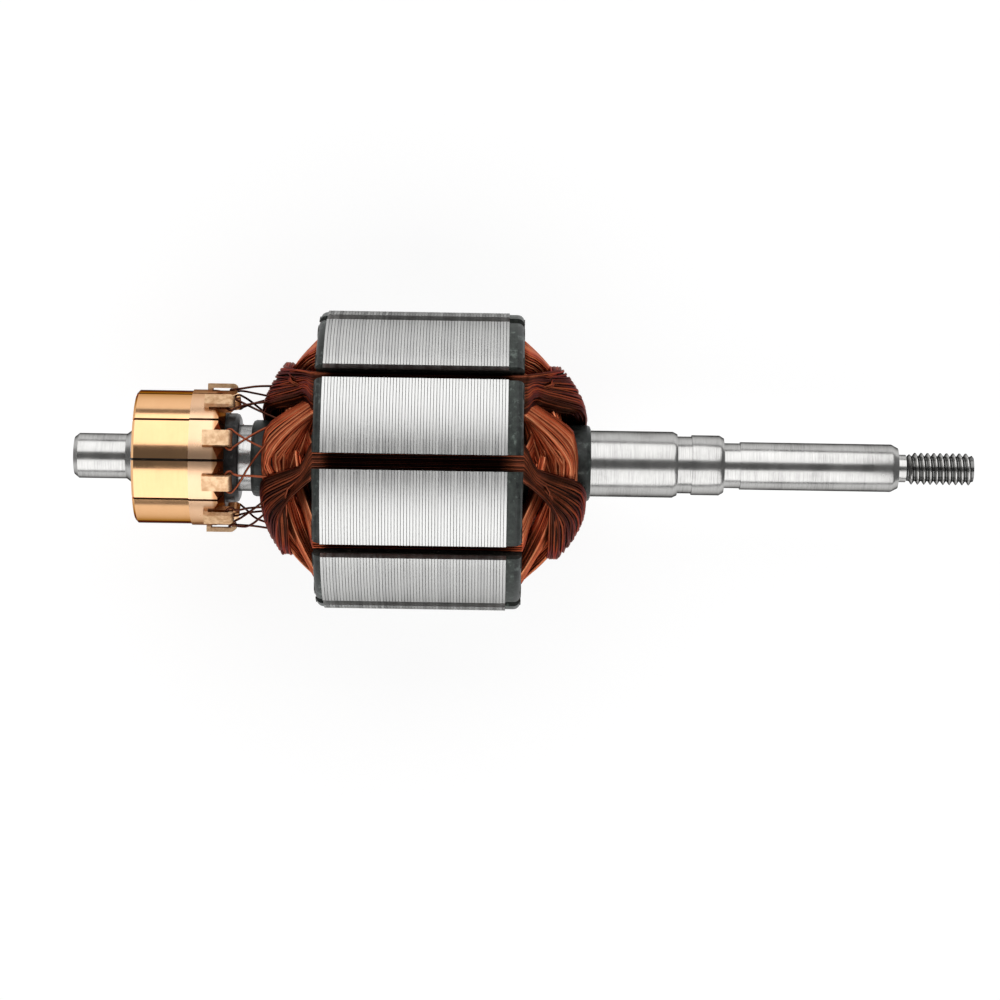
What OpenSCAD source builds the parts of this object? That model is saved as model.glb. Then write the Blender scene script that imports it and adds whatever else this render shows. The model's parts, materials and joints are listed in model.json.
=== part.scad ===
// Wound armature of a small commutator motor: ten slots, ten coils, ten hooked commutator bars.
// Millimetres. The shaft lies along +X and +Z is up. The origin is on the shaft axis, where the
// drive-end bearing seat begins. The armature lies on the two tooth tips beside its lowest slot.

/* [Shaft] */
// Diameter of the bearing seat at the commutator end
stub_d = 9.0; // [7:0.1:10]
// Length of the bearing seat at the commutator end
stub_len = 10.4; // [7:0.1:16]
// Length of the cone between that seat and the commutator seat
collar_len = 1.2; // [0.6:0.1:2]
// Diameter of the seat that the commutator is pressed on
commutator_seat_d = 10.8; // [10.2:0.1:12]
// Diameter of the shaft through the core
core_seat_d = 13.2; // [12.6:0.1:14]
// Plain shaft between the commutator and the sleeve of the commutator-end insulator
bare_len = 2.4; // [1.5:0.1:6]
// Plain shaft between the drive-end sleeve and the bearing shoulder
shoulder_len = 17.3; // [12:0.1:30]
// Diameter of the relief groove beside the bearing shoulder
relief_d = 11.4; // [10.4:0.1:11.8]
// Length of the relief groove
relief_len = 2.9; // [1.5:0.1:4]
// Diameter of the drive-end bearing seat
bearing_seat_d = 12.0; // [11.9:0.1:12.4]
// Length of the drive-end bearing seat
bearing_seat_len = 6.4; // [5:0.1:12]
// Diameter of the neck between the bearing seat and the output shaft
neck_d = 9.0; // [7.5:0.1:9.4]
// Length of that neck
neck_len = 3.3; // [2:0.1:6]
// Diameter of the output shaft
output_d = 9.52; // [9.5:0.02:10.5]
// Length of the output shaft
output_len = 31.5; // [20:0.1:50]
// Diameter of the undercut behind the threaded end
undercut_d = 5.5; // [4.6:0.1:5.8]
// Length of that undercut
undercut_len = 1.9; // [1:0.1:3]
// Outside diameter of the threaded end
stud_d = 6.35; // [6:0.05:7]
// Length of the threaded end
stud_len = 13.2; // [8:0.1:20]
// Chamfer at both bearing seats and on the core seat
seat_chamfer = 0.9; // [0.4:0.1:1.2]
// Diameter of the centre hole in each end of the shaft
centre_d = 2.6; // [1.6:0.1:3.2]

/* [Core] */
// Outside diameter of the laminated core
core_d = 59.4; // [58.6:0.1:61]
// Number of laminations in the stack
lamination_count = 60; // [50:1:72]
// Thickness of one lamination
lamination_t = 0.6; // [0.5:0.05:0.65]
// Depth of the line between two laminations
lamination_line = 0.12; // [0.05:0.01:0.2]
// Width of the straight part of a tooth
tooth_w = 6.4; // [6:0.1:6.8]
// Radius of the bottom of a slot
slot_bottom_r = 13.8; // [13.6:0.1:14.2]
// Width of the mouth of a slot
slot_mouth = 3.2; // [2.4:0.1:4]
// Thickness of the tooth tips at the slot's mouth
tip_t = 1.4; // [1:0.1:2]

/* [Insulation] */
// Thickness of the slot liners
liner_t = 0.3; // [0.2:0.05:0.4]
// How far a liner stands out of the core's end insulation
liner_out = 0.1; // [0:0.1:1]
// Thickness of the moulded insulator at the commutator end
front_insulator_t = 1.5; // [1:0.1:2.5]
// Thickness of the fibre plate at the drive end
fibre_plate_t = 1.6; // [1:0.1:2.5]
// Thickness of the moulded insulator at the drive end
rear_insulator_t = 1.34; // [1:0.02:2.5]
// How far the end insulation lies inside the core's outside diameter
insulator_step = 0.3; // [0.1:0.1:0.8]
// Outside diameter of the insulating sleeves on the shaft
sleeve_d = 15.3; // [15:0.1:15.8]
// How far the sleeve stands past the winding at the commutator end
front_sleeve_out = 1.9; // [1:0.1:4]
// How far the sleeve stands past the winding at the drive end
rear_sleeve_out = 0.8; // [0.4:0.1:3]

/* [Commutator] */
// Diameter of the brush track
track_d = 26.6; // [26:0.1:27]
// Length of the brush track
track_len = 11.2; // [8:0.1:14]
// Diameter of the riser band beside the track
riser_d = 27.1; // [26.8:0.1:27.6]
// Length of the riser band at the hooks
riser_len = 4.7; // [4:0.1:6]
// Length of the sloping end of a bar
bar_slope = 2.1; // [1.5:0.1:2.6]
// Width of the gap between two bars
bar_gap = 0.5; // [0.3:0.05:0.7]
// Radial thickness of a bar
bar_t = 3.1; // [2.6:0.1:3.3]
// Turn of the commutator against the core, in degrees
commutator_turn = 2; // [-6:0.5:6]
// Width of a hook
hook_w = 3.1; // [2.4:0.1:3.6]
// Length of a hook along the shaft
hook_len = 5.9; // [5:0.1:6.4]
// Thickness of a hook
hook_t = 0.85; // [0.6:0.05:1]
// Room for the wire under a hook
hook_gap = 0.54; // [0.52:0.02:0.7]
// How far a hook's bend stands past the riser band
hook_out = 4.0; // [3.4:0.1:4.5]
// How far the moulded hub's face lies inside the ends of the bars
hub_recess = 0.3; // [0.1:0.1:1]
// How far the commutator's seat stands out of the bars
seat_out = 0.9; // [0.5:0.1:3]
// Diameter of the moulded hub at the hook end
hub_d = 17.8; // [16:0.1:18.4]
// Length of that hub past the bars
hub_len = 2.6; // [1.5:0.1:4.5]

/* [Winding] */
// How far the winding stands out of the insulator at the commutator end
front_overhang = 11.5; // [9.5:0.1:13]
// How far the winding stands out of the insulator at the drive end
rear_overhang = 12.8; // [11:0.1:14.5]
// Clearance round the winding
winding_gap = 0.1; // [0.05:0.01:0.2]
// Width of a coil where it passes the sleeve
pass_w = 5.9; // [5.2:0.1:6]
// How far inside their places in the slots the uppermost coils pass the sleeve
top_inset = 0.4; // [0.2:0.1:5]
// Radial depth of one coil side in a slot
side_depth = 4.7; // [4:0.1:5.6]
// How much lower the rim of the drive-end winding lies than its middle
rear_crown = 1.6; // [0:0.1:2.4]
// How much lower the rim of the commutator-end winding lies than its middle
front_crown = 1.3; // [0:0.1:2]
// How far the coils below the uppermost swell out beside them at the drive end
rear_swell = 0.6; // [0:0.1:1]
// How far the coils below the uppermost swell out beside them at the commutator end
front_swell = 1.7; // [0:0.1:2]
// Diameter of the winding wire
wire_d = 0.5; // [0.4:0.05:0.6]

/* [Hidden] */
$fn = 96;
slots = 10;                         // slots, teeth, coils and commutator bars
pitch = 360 / slots;                // angle from one slot to the next
coil_span = floor(slots / 2) - 1;   // slots between a coil's sides: one less than halfway round
levels = slots / 2;                 // the coils are wound in opposite pairs, one pair on the other
winding_sides = 10;                 // corners of a coil's section
turn_steps = 10;                    // rings in half an end turn
slot_fill = 0.92;                   // share of a slot's width that a coil side takes
side_gap = 0.3;                     // gap between the two coil sides in a slot
climb_r = 13.4;                     // radius inside which an end turn keeps its height
climb_power = 1.15;                 // how soon an end turn climbs on its way from the slot
climb_fan = 0.08;                   // how much sooner its upper strands climb than its middle
sink_run = 1.5;                      // distance in which a leg's lower strands sink
outer_lean = 0.5;                   // how far an outer coil side leans the way it turns, past its slot
inner_lean = 0.15;                  // the same for the inner side in a slot
lean_run = 0.15;                    // share of half an end turn in which they lean
swell_end = 24;                     // angle past a coil's edge at which its swelling dies out
swell_run = 16;                     // angle over which it dies out
// Free levels under a coil's leg, for each level, on the coil's first and second side
free_levels = [[0, 1, 2, 2.6, 0.4], [0, 0, 0.4, 0.4, 0.4]];
winding_round = 0.6;                // how square a coil's section is: 1 is round
turn_bias = 1.2;                    // how much closer the rings of an end turn stand at its slot
lead_sides = 8;                     // corners of a lead's section
edge_round = 0.25;                  // rounding of the moulded edges
edge_chamfer = 0.8;                 // chamfer of the moulded edges
rim_round = 1.3;                    // radius of the moulded insulators' rims
slot_corner = 0.8;                  // corner of a slot's bottom
tip_corner = 0.9;                   // corner under a tooth tip
slot_floor = 0.6;                   // width of a slot's flat floor, as a share of the slot
liner_clear = 0.01;                 // clearance between a slot liner and its slot
bar_chamfer = 0.5;                  // chamfer at the bar's free end
bar_key = 0.9;                      // depth of a bar's foot in the hub
hub_under = 0.7;                    // how far the hub's surface lies under the track
hook_inset = 0.15;                  // how far a hook's root lies under the riser band
hook_weld = 2.6;                    // length of a hook's welded tip
lead_gap = 0.25;                    // how far a lead's tails keep from the middle as they cross

// Places along the shaft, from the drive-end bearing seat outwards and inwards
bearing_seat_end = bearing_seat_len;
output_x = bearing_seat_end + neck_len;
output_end = output_x + output_len;
stud_x = output_end + undercut_len;
stud_end = stud_x + stud_len;
shoulder_x = -relief_len;
rear_sleeve_x = shoulder_x - shoulder_len;
rear_face_x = rear_sleeve_x - rear_sleeve_out - rear_overhang;
rear_plate_x = rear_face_x - rear_insulator_t;
core_end = rear_plate_x - fibre_plate_t;
core_len = lamination_count * lamination_t;
core_x = core_end - core_len;
front_face_x = core_x - front_insulator_t;
front_sleeve_x = front_face_x - front_overhang - front_sleeve_out;
hub_end = front_sleeve_x - bare_len;
bar_end = hub_end - hub_len;
riser_end = bar_end - bar_slope;
track_end = riser_end - riser_len;
bar_x = track_end - track_len;
collar_x = bar_x - seat_out;
stub_end = collar_x - collar_len;
shaft_x = stub_end - stub_len;
hook_end = riser_end + hook_out;

// End turns: [place of the insulator's face, way out of the core, overhang, crown, swell]
front_turns = [front_face_x, -1, front_overhang, front_crown, front_swell];
rear_turns = [rear_face_x, 1, rear_overhang, rear_crown, rear_swell];

// Where each lead's two tails reach the winding: [depth into the overhang, radius, turn from the hook]
lead_ends = [
    [[5.5, 13, -20], [2, 12.5, 7]], [[2.5, 13.5, -35], [3, 13, -4]],
    [[2, 13.5, -19], [1.5, 12.5, -6]], [[1.5, 13, -34], [2, 14, 0]],
    [[2, 13.5, -24], [2.5, 13.5, 0]], [[5.5, 13, -20], [1.5, 12, 4]],
    [[2.5, 13.5, -28], [2, 12, 2]], [[2, 13.5, -22], [1.5, 13, 10]],
    [[2.5, 14.5, 2], [2, 13, 16]], [[2, 13.5, -4], [5.5, 12.5, 16]]];

core_r = core_d / 2;
bore_r = core_seat_d / 2;
sleeve_r = sleeve_d / 2;
track_r = track_d / 2;
riser_r = riser_d / 2;
bar_r = track_r - bar_t;
tip_r = core_r - tip_t;
gap_turn = pitch / 2 + commutator_turn;

// ---- Helpers ----

// Turns a profile of [radius, place along the shaft] points about the shaft axis
module turned(profile) {
    rotate([0, 90, 0]) rotate_extrude() polygon(profile);
}

// Extrudes a section drawn in the plane across the shaft, from x and over a length
module along_shaft(x, length) {
    translate([x, 0, 0]) rotate([90, 0, 90]) linear_extrude(length) children();
}

// Turns a child from the top of the core to slot k; turns count towards -Y
module at_turn(angle) {
    rotate([angle, 0, 0]) children();
}

function slot_angle(k) = (k - 1) * pitch;
function point(x, r, angle) = [x, -r * sin(angle), r * cos(angle)];
function unit(v) = v / norm(v);
function smooth(t) = let (u = min(1, max(0, t))) u * u * (3 - 2 * u);
function signed_power(v, p) = sign(v) * pow(abs(v), p);

// ---- Shaft ----

module shaft() {
    c = seat_chamfer;
    hole_depth = centre_d / 2 / tan(30);
    color("lightgrey") turned([
        [0, shaft_x + hole_depth], [centre_d / 2, shaft_x],
        [stub_d / 2 - c * 0.8, shaft_x], [stub_d / 2, shaft_x + c],
        [stub_d / 2, stub_end], [commutator_seat_d / 2, collar_x],
        [commutator_seat_d / 2, hub_end], [bore_r, hub_end],
        [bore_r, shoulder_x - c], [bore_r - c * 0.5, shoulder_x],
        [relief_d / 2, shoulder_x], [relief_d / 2, 0], [bearing_seat_d / 2, 0],
        [bearing_seat_d / 2, bearing_seat_end - c], [bearing_seat_d / 2 - c * 0.6, bearing_seat_end],
        [neck_d / 2, bearing_seat_end], [neck_d / 2, output_x], [output_d / 2, output_x],
        [output_d / 2, output_end - c * 1.5], [output_d / 2 - c * 0.8, output_end],
        [undercut_d / 2, output_end], [undercut_d / 2, stud_x], [stud_d / 2 - c * 0.4, stud_x],
        [stud_d / 2, stud_x + c * 0.4], [stud_d / 2, stud_end - c], [stud_d / 2 - c, stud_end],
        [centre_d / 2, stud_end], [0, stud_end - hole_depth]]);
}

// ---- Laminated core ----

// Half the width of a slot at radius r, less an inset at each wall
function slot_half(r, inset) = r * tan(pitch / 2) - tooth_w / 2 / cos(pitch / 2) - inset;

// Outline of a slot from its bottom to radius top, in [across, radius] points
function slot_outline(inset, bottom, top) =
    let (
        low = bottom + slot_corner,
        high = top - tip_corner,
        low_half = slot_half(low, inset),
        high_half = slot_half(high, inset))
    [[-low_half, low], [-low_half * slot_floor, bottom], [low_half * slot_floor, bottom],
        [low_half, low], [high_half, high], [high_half - tip_corner, top],
        [tip_corner - high_half, top], [-high_half, high]];

// Section of a lamination: a disc on the shaft with ten half-closed slots
module tooth_section(outer_r, inner_r) {
    difference() {
        circle(r = outer_r);
        circle(r = inner_r);
        for (k = [0 : slots - 1]) rotate(slot_angle(k)) {
            polygon(slot_outline(0, slot_bottom_r, tip_r));
            translate([-slot_mouth / 2, tip_r - 1]) square([slot_mouth, core_r]);
        }
    }
}

// The stack is one solid. Its rim keeps the line between each lamination and the next.
module lamination_stack() {
    line = lamination_line;
    color("gainsboro") intersection() {
        along_shaft(core_x, core_len) tooth_section(core_r + 1, bore_r);
        turned(concat(
            [[0, core_x], [core_r - line, core_x]],
            [for (i = [0 : lamination_count - 1]) let (x = core_x + i * lamination_t)
                each [[core_r, x + line / 2], [core_r, x + lamination_t - line / 2],
                    [core_r - line, x + lamination_t]]],
            [[0, core_end]]));
    }
}

// ---- Insulation ----

// Moulded insulator: a spider over the teeth with rounded rims, and a sleeve on the shaft
module insulator(face_x, thickness, out, sleeve_end) {
    r = core_r - insulator_step;
    inner_x = face_x - out * thickness;
    round_t = min(thickness, rim_round);
    intersection() {
        along_shaft(min(face_x, inner_x), thickness) tooth_section(r + 1, bore_r);
        turned(concat(
            [[0, inner_x], [r, inner_x], [r, face_x - out * round_t]],
            [for (a = [15 : 15 : 90])
                [r - round_t * (1 - cos(a)), face_x - out * round_t * (1 - sin(a))]],
            [[0, face_x]]));
    }
    turned([
        [bore_r, inner_x], [sleeve_r, inner_x],
        [sleeve_r, sleeve_end - out * edge_chamfer],
        [sleeve_r - edge_round, sleeve_end - out * edge_round],
        [sleeve_r - edge_chamfer, sleeve_end], [bore_r, sleeve_end]]);
}

module front_insulator() {
    color("dimgrey") insulator(front_face_x, front_insulator_t, -1, front_sleeve_x);
}

module rear_insulator() {
    color("dimgrey") insulator(rear_face_x, rear_insulator_t, 1, rear_sleeve_x);
}

module fibre_end_plate() {
    color("darkslategrey") along_shaft(core_end, fibre_plate_t)
        tooth_section(core_r - insulator_step, bore_r);
}

// A sheet bent into the slot, open under the tooth tips
module slot_liner(k) {
    x = front_face_x - liner_out;
    color("dimgrey") at_turn(slot_angle(k)) along_shaft(x, rear_face_x + liner_out - x) difference() {
        polygon(slot_outline(liner_clear, slot_bottom_r + liner_clear, tip_r - liner_clear));
        polygon(slot_outline(liner_t, slot_bottom_r + liner_t, tip_r - liner_t));
        translate([-slot_mouth / 2, tip_r - 1]) square([slot_mouth, 2]);
    }
}

// ---- Commutator ----

// Sector of one bar with parallel gaps beside it, from the axis outwards
module bar_sector() {
    start = bar_gap / 2 / sin(pitch / 2);
    reach = 2 * track_r;
    polygon([[0, start], [reach * sin(pitch / 2), start + reach * cos(pitch / 2)],
        [-reach * sin(pitch / 2), start + reach * cos(pitch / 2)]]);
}

// Foot that keys a bar into the moulded hub
module bar_foot() {
    half = bar_r * tan(pitch / 2);
    polygon([[-half * 0.35, bar_r + 0.1], [-half * 0.6, bar_r - bar_key],
        [half * 0.6, bar_r - bar_key], [half * 0.35, bar_r + 0.1]]);
}

// Half-space beyond the sloping end of a bar, turned to one side of the hook
module end_slope(side) {
    translate([riser_end, -side * hook_w / 2, riser_r]) rotate([0, 0, side * 15])
        rotate([0, -45, 0]) translate([0, -20, -20]) cube([10, 40, 40]);
}

// Hook seen from the side, in [place along the shaft, radius]
module hook_side() {
    low = riser_r - hook_inset - hook_t;
    bend_r = hook_t + hook_gap / 2;
    mid = low + bend_r;
    tip_x = hook_end - hook_len;
    difference() {
        union() {
            translate([hook_end - bend_r, mid]) circle(r = bend_r, $fn = 48);
            translate([riser_end - 1, low]) square([hook_end - bend_r - riser_end + 1, hook_t]);
            translate([tip_x, mid + hook_gap / 2])
                square([hook_end - bend_r - tip_x, hook_t]);
            translate([tip_x, riser_r - 0.1]) square([hook_weld, hook_t]);
        }
        translate([hook_end - bend_r, mid]) circle(r = hook_gap / 2, $fn = 48);
        translate([riser_end - 1, mid - hook_gap / 2])
            square([hook_end - bend_r - riser_end + 1, hook_gap]);
        translate([tip_x + hook_weld, mid - hook_gap / 2])
            square([hook_end - bend_r - tip_x - hook_weld, hook_gap]);
    }
}

module bar_body() {
    c = bar_chamfer;
    intersection() {
        along_shaft(bar_x, bar_end - bar_x) bar_sector();
        turned([[bar_r, bar_x], [track_r - c, bar_x], [track_r, bar_x + c], [track_r, track_end],
            [riser_r, track_end], [riser_r, riser_end + 1], [riser_r - bar_slope, bar_end],
            [bar_r, bar_end]]);
        difference() {
            translate([bar_x - 1, -20, 0]) cube([bar_end - bar_x + 2, 40, 20]);
            intersection() {
                end_slope(1);
                translate([bar_x, -20, 0]) cube([60, 20, 20]);
            }
            intersection() {
                end_slope(-1);
                translate([bar_x, 0, 0]) cube([60, 20, 20]);
            }
        }
    }
    along_shaft(bar_x + 1.5, bar_end - bar_x - 3) bar_foot();
}

module commutator_bar(k) {
    color("peru") at_turn(slot_angle(k) + gap_turn) {
        bar_body();
        translate([0, hook_w / 2, 0]) rotate([90, 0, 0]) linear_extrude(hook_w) hook_side();
    }
}

// Moulded hub: it fills the room under the bars and stands a little way up the gaps
module commutator_hub() {
    inner = commutator_seat_d / 2;
    color("black") difference() {
        turned([[inner, bar_x + hub_recess], [track_r - hub_under, bar_x + hub_recess],
            [track_r - hub_under, riser_end - 0.2],
            [riser_r - bar_slope - hub_under - 0.2, bar_end - 0.1],
            [hub_d / 2, bar_end - 0.1], [hub_d / 2, hub_end - edge_chamfer],
            [hub_d / 2 - edge_round, hub_end - edge_round], [hub_d / 2 - edge_chamfer, hub_end],
            [inner, hub_end]]);
        for (k = [0 : slots - 1]) at_turn(slot_angle(k) + gap_turn) bar_body();
    }
}

// ---- Winding ----

// Level of coil k: 0 lies on the insulators, the highest lies on all the others
function coil_level(k) = (k + 3) % levels;

// The coil that shares a slot with coil k, at its first side (0) or its second side (1)
function slot_mate(k, side) = (k + (side == 0 ? slots - coil_span : coil_span)) % slots;
function is_outer(k, side) = coil_level(k) > coil_level(slot_mate(k, side));

inner_side_r = slot_bottom_r + liner_t + side_gap + 0.1 + side_depth / 2;
outer_side_r = inner_side_r + side_depth + side_gap;
function level_w(n) = n < levels - 1 ? pass_w
    : outer_side_r - side_depth / 2 - top_inset - sleeve_r - winding_gap;

// Centre radius of one side of coil k in its slot
function side_r(k, side) = is_outer(k, side) ? outer_side_r : inner_side_r;

// Height of level n over the insulator, where the coil passes the sleeve
function level_pitch(overhang) = (overhang - winding_gap * 3) / levels;
function pass_height(n, overhang) = winding_gap * 3 + level_pitch(overhang) * (n + 0.5);

// One strand of an end turn of coil k, from its slot (t = 0) to the middle of the turn (t = 1).
// depth and across run from -1 to 1: in the slot they count out from the shaft and along the
// coil's way, and at the sleeve they count out from the core and out from the sleeve.
// The strand leaves its slot, runs straight to the sleeve and bends round it, while it climbs.
// On its way its lower strands sink into the room that the coils below leave free.
// Returns [height over the insulator, radius, angle from the slot].
function strand(k, side, end, depth, across, t) =
    let (
        n = coil_level(k),
        overhang = end[2],
        step = level_pitch(overhang),
        mid_r = side_r(k, side),
        r0 = mid_r + depth * side_depth / 2,
        lean = (is_outer(k, side) ? outer_lean : inner_lean) * (1 - across) * smooth(t / lean_run),
        v0 = (across + lean) * slot_fill * slot_half(r0, liner_t + winding_gap),
        start_r = norm([r0, v0]),
        start_a = atan2(v0, r0),
        near_r = sleeve_r + winding_gap + (1 + across) / 2 * level_w(n),
        tangent_a = start_a + acos(near_r / start_r),
        straight = sqrt(start_r * start_r - near_r * near_r),
        mid_a = coil_span * pitch / 2,
        arc = near_r * (mid_a - tangent_a) * PI / 180,
        left = straight - t * (straight + arc),
        r = left > 0 ? norm([near_r, left]) : near_r,
        a = left > 0 ? tangent_a - atan(left / near_r) : tangent_a - left / near_r * 180 / PI,
        flat_r = max(near_r + 0.2, climb_r),
        rise = min(1, max(0, (r - flat_r) / (start_r - flat_r))),
        rim = end[3] * (n + 0.5) / levels * pow((min(r, sleeve_r + level_w(n)) - sleeve_r) / pass_w, 2),
        sunk = free_levels[side][n] * (1 - depth) / 2 * smooth((r - flat_r) / sink_run),
        own_a = side == 0 ? a : 2 * mid_a - a,
        past_edge = own_a + acos(sleeve_r / r) - acos(sleeve_r / outer_side_r),
        swell = n == levels - 2 ? end[4] * (1 - smooth((past_edge - swell_end) / swell_run)) : 0,
        top = pass_height(n, overhang) - rim - sunk * step + swell * (1 + depth) / 2
            + depth * (step / 2 - winding_gap * 2)
    )
    [top * (1 - pow(rise, climb_power + climb_fan * depth)), r, a];

// Corners of a coil's section, in [depth, across]
corners = [for (i = [0 : winding_sides - 1]) let (a = (i + 0.5) * 360 / winding_sides)
    [signed_power(sin(a), winding_round), signed_power(cos(a), winding_round)]];

// Half an end turn of coil k, as rings from the slot to the middle of the turn
function half_turn(k, side, end) = [
    for (step = [0 : turn_steps]) let (t = pow(step / turn_steps, turn_bias)) [
        for (c = corners) let (
            s = strand(k, side, end, c[0], c[1], t),
            slot = slot_angle(k + side * coil_span),
            turn = side == 0 ? s[2] : -s[2])
        point(end[0] + end[1] * (s[0] + winding_gap), s[1], slot + turn)]];

function backwards(list) = [for (i = [len(list) - 1 : -1 : 0]) list[i]];
function without_last(list) = [for (i = [0 : len(list) - 2]) list[i]];

// All rings of coil k: over the commutator end, through the second slot, over the drive end
function coil_rings(k) = concat(
    without_last(half_turn(k, 0, front_turns)), backwards(half_turn(k, 1, front_turns)),
    without_last(half_turn(k, 1, rear_turns)), backwards(half_turn(k, 0, rear_turns)));

// Closed loop of rings, each joined to the next
module loop_solid(rings) {
    n = len(rings);
    m = len(rings[0]);
    polyhedron(points = [for (ring = rings) each ring], faces = [
        for (i = [0 : n - 1]) for (j = [0 : m - 1])
            let (a = i * m + j, b = i * m + (j + 1) % m,
                c = (i + 1) % n * m + (j + 1) % m, d = (i + 1) % n * m + j)
            each [[a, c, b], [a, d, c]]]);
}

module coil(k) {
    color("sienna") loop_solid(coil_rings(k));
}

// ---- Leads ----

// Chain of rings with closed ends
module tube_solid(rings) {
    n = len(rings);
    m = len(rings[0]);
    polyhedron(points = [for (ring = rings) each ring], faces = concat(
        [[for (j = [m - 1 : -1 : 0]) j]],
        [for (i = [0 : n - 2]) for (j = [0 : m - 1])
            let (a = i * m + j, b = i * m + (j + 1) % m)
            each [[a, b, b + m], [a, b + m, a + m]]],
        [[for (j = [0 : m - 1]) (n - 1) * m + j]]));
}

function tube_rings(path, d) = [
    for (i = [0 : len(path) - 1])
        let (
            before = path[max(i - 1, 0)],
            after = path[min(i + 1, len(path) - 1)],
            along = unit(after - before),
            side = unit(cross(along, [0, path[i][1], path[i][2]])),
            up = cross(side, along))
        [for (j = [0 : lead_sides - 1]) let (a = j * 360 / lead_sides)
            path[i] + d / 2 * (cos(a) * side + sin(a) * up)]];

// Lead under hook k: a coil's end and the next coil's start, looped through the hook.
// Outside the hook its two tails cross each other, one over the other.
module coil_lead(k) {
    hook_turn = slot_angle(k) + gap_turn;
    wire_r = riser_r - hook_inset + hook_gap / 2;
    loop_x = hook_end - hook_t - hook_gap / 2 - hook_inset;
    beside = asin((hook_w / 2 + wire_d) / wire_r);
    tail = function(side) let (
        end = lead_ends[k][side > 0 ? 0 : 1],
        end_x = front_face_x - front_overhang + end[0] - wire_d,
        r = wire_r + side * lead_gap)
        [point(end_x, end[1], hook_turn + end[2]),
            point((end_x + hook_end) / 2, (end[1] + r) / 2 + side * lead_gap / 2,
                hook_turn + (end[2] + side * beside * 0.7) / 2),
            point(hook_end + 0.4, r, hook_turn + side * beside * 0.75),
            point(hook_end - 0.4, r, hook_turn + side * beside * 1.05),
            point(loop_x, wire_r, hook_turn + side * beside * 0.8)];
    path = concat(tail(1), [point(loop_x, wire_r, hook_turn)], backwards(tail(-1)));
    color("brown") tube_solid(tube_rings(path, wire_d));
}

// ---- The armature ----

shaft();
lamination_stack();
front_insulator();
fibre_end_plate();
rear_insulator();
commutator_hub();
for (k = [0 : slots - 1]) {
    commutator_bar(k);
    slot_liner(k);
    coil(k);
    coil_lead(k);
}
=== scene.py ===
# %% [markdown]
# A wound motor armature: a slotted steel core on a shaft, ten coils of enamelled copper wire,
# and a commutator with ten hooked copper bars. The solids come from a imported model, which is
# loaded first. This script gives each of them a finish and adds the things that are too fine
# for the solids: the single wires of the coils, the leads and the thread at the shaft's end.

# %% Load the solids
import json
import math
import random

import bmesh
import bpy
from mathutils import Matrix, Vector


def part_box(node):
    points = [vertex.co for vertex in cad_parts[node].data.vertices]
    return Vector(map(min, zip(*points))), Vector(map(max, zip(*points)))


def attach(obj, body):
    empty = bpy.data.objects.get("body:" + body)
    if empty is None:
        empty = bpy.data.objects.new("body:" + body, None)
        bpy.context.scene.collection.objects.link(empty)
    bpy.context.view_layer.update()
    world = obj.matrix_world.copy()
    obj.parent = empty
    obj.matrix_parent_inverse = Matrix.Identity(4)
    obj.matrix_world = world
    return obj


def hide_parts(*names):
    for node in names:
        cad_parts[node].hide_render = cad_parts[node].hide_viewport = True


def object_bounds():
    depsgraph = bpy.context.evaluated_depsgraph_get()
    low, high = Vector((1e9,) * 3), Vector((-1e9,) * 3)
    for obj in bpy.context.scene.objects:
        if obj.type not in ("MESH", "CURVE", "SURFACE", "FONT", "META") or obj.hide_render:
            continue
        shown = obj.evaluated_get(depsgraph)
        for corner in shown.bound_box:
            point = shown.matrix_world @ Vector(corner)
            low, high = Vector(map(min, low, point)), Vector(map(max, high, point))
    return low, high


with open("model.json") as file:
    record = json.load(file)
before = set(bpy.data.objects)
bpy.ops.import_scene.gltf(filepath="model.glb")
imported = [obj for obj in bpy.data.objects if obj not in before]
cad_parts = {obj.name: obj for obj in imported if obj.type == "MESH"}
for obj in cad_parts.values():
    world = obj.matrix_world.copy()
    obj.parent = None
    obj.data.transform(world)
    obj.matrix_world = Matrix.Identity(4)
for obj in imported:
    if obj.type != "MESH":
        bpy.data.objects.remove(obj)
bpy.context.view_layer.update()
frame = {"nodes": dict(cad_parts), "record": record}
solids = frame["nodes"]

# %% [markdown]
# Blender works in metres here and a maker thinks in millimetres, so one value turns one into
# the other. The shaft lies along X. An angle is counted from the top of the core towards -Y,
# and `place` turns a place along the shaft, a radius and such an angle into a point.

# %% Units and places
mm = 0.001
slots = 10
slot_pitch = math.tau / slots


def place(along, radius, angle):
    return Vector((along, -radius * math.sin(angle), radius * math.cos(angle)))


def smooth_step(value):
    clipped = min(1.0, max(0.0, value))
    return clipped * clipped * (3 - 2 * clipped)


print("one slot every", round(math.degrees(slot_pitch)), "degrees")

# %% [markdown]
# Every finish below is a node tree built from the same few steps: read the place on the object,
# stretch it, make a noise from it, and turn that noise into a colour, a roughness or a bump.
# The steps are written once here. They read Object coordinates, so a finish stays on its piece.

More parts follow.
